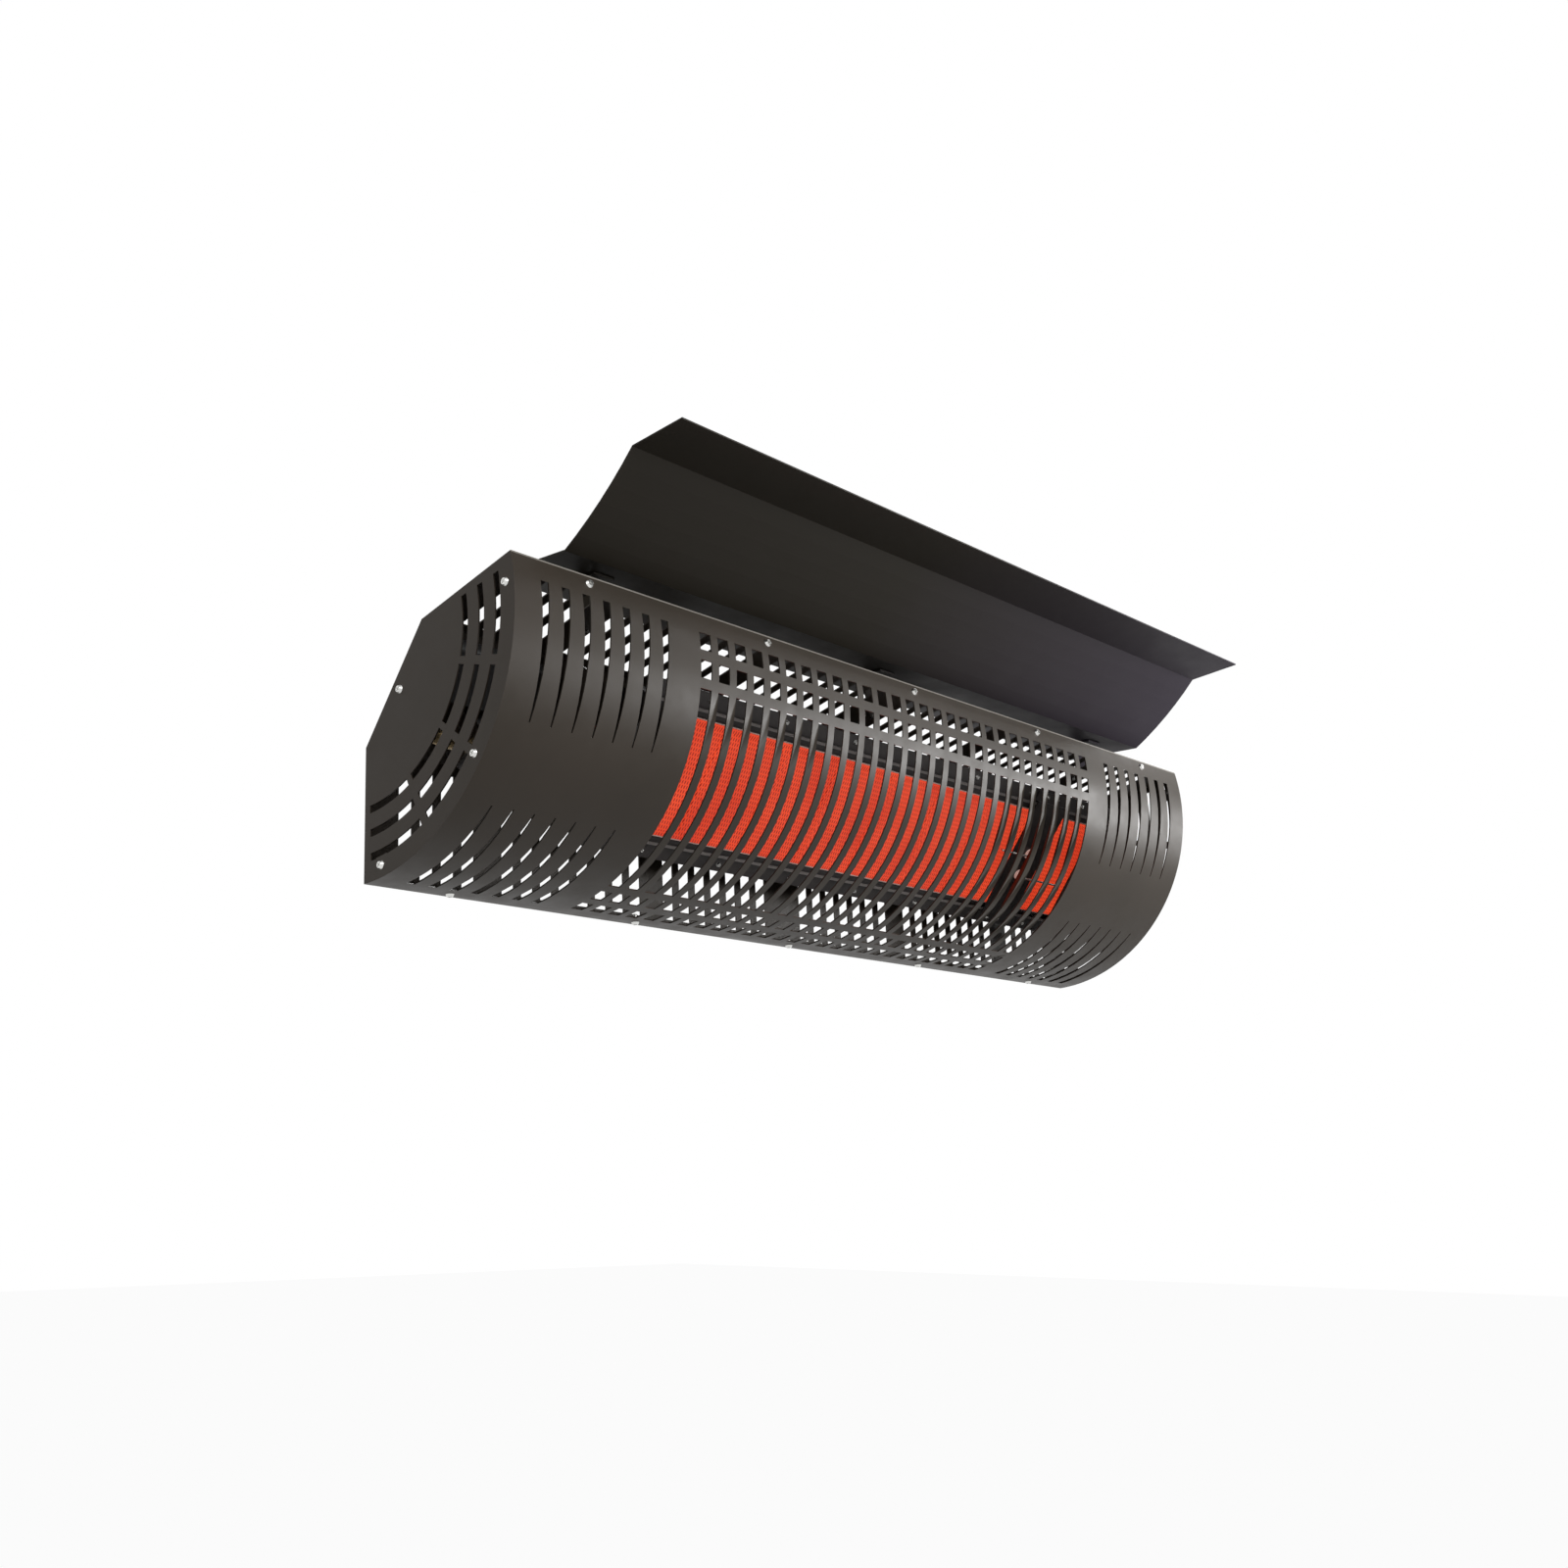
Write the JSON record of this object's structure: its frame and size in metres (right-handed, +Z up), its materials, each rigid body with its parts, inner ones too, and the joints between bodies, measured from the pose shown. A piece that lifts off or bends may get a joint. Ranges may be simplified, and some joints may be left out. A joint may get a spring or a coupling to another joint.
{
  "type": "gas-fired ceramic radiant heater",
  "caption": "Wall-hung radiant heater with glowing ceramic tiles in a slotted curved cage, a bent deflector above and a tilting wall bracket.",
  "frame": {"origin": "centre of the wall plate's rear face, where it meets the wall", "axes": "+X along the heater towards the electrode end, -Y away from the wall into the room, +Z up"},
  "size_m": [1.1648, 0.5221, 0.3906],
  "materials": {
    "cage_paint": "dark warm-grey heat-proof paint, satin",
    "deflector_paint": "near-black heat-proof paint, satin",
    "zinc_screws": "bright zinc-plated steel",
    "burner_steel": "heat-darkened sheet steel",
    "tile_ceramic": "matt perforated ceramic, glowing red",
    "fibre_gasket": "pale ceramic fibre",
    "plated_steel": "zinc-plated steel",
    "brass": "machined brass",
    "cast_aluminium": "die-cast aluminium",
    "coil_plastic": "black moulded coil",
    "control_plastic": "black heat-proof moulding",
    "white_ceramic": "glazed white ceramic",
    "lead_silicone": "red silicone high-voltage lead",
    "bracket_paint": "dark warm-grey paint, satin"
  },
  "bodies": {
    "bracket": {"wall_bracket": "bracket_paint", "pivot_bolts": "zinc_screws"},
    "heater": {"baffle_plate": "burner_steel", "bridge_screws": "zinc_screws", "burner_frame": "burner_steel", "burner_housing": "burner_steel", "burner_support_left": "burner_steel", "burner_support_middle": "burner_steel", "burner_support_right": "burner_steel", "cable_gland": "control_plastic", "deflector": "deflector_paint", "deflector_bracket_left": "deflector_paint", "deflector_bracket_middle": "deflector_paint", "deflector_bracket_right": "deflector_paint", "deflector_screws": "zinc_screws", "electrode_bridge": "burner_steel", "electrode_insulators": "white_ceramic", "end_plate_left": "cage_paint", "end_plate_right": "cage_paint", "end_screws_left": "zinc_screws", "end_screws_right": "zinc_screws", "frame_screws": "zinc_screws", "front_grille": "cage_paint", "gas_inlet": "brass", "gas_valve": "cast_aluminium", "heat_shield": "cage_paint", "ignition_control": "control_plastic", "ignition_cover": "control_plastic", "ignition_electrode": "plated_steel", "ignition_lead": "lead_silicone", "injector": "brass", "injector_pipe": "plated_steel", "lock_bolts": "zinc_screws", "lug_bolts": "zinc_screws", "mixing_tube": "plated_steel", "panel_screws": "zinc_screws", "rear_shell": "cage_paint", "sensing_electrode": "plated_steel", "sensing_lead": "lead_silicone", "support_screws": "zinc_screws", "tile_gasket": "fibre_gasket", "tile_short_block": "tile_ceramic", "tiles_long_block": "tile_ceramic", "tilt_lug_left": "bracket_paint", "tilt_lug_right": "bracket_paint", "valve_bracket": "plated_steel", "valve_coils": "coil_plastic"}
  },
  "joints": [
    {"name": "tilt", "type": "hinge", "parent": "bracket", "child": "heater", "pos_m": [0, -0.17, 0], "axis": [1, 0, 0], "range_deg": [-15, 25]}
  ]
}
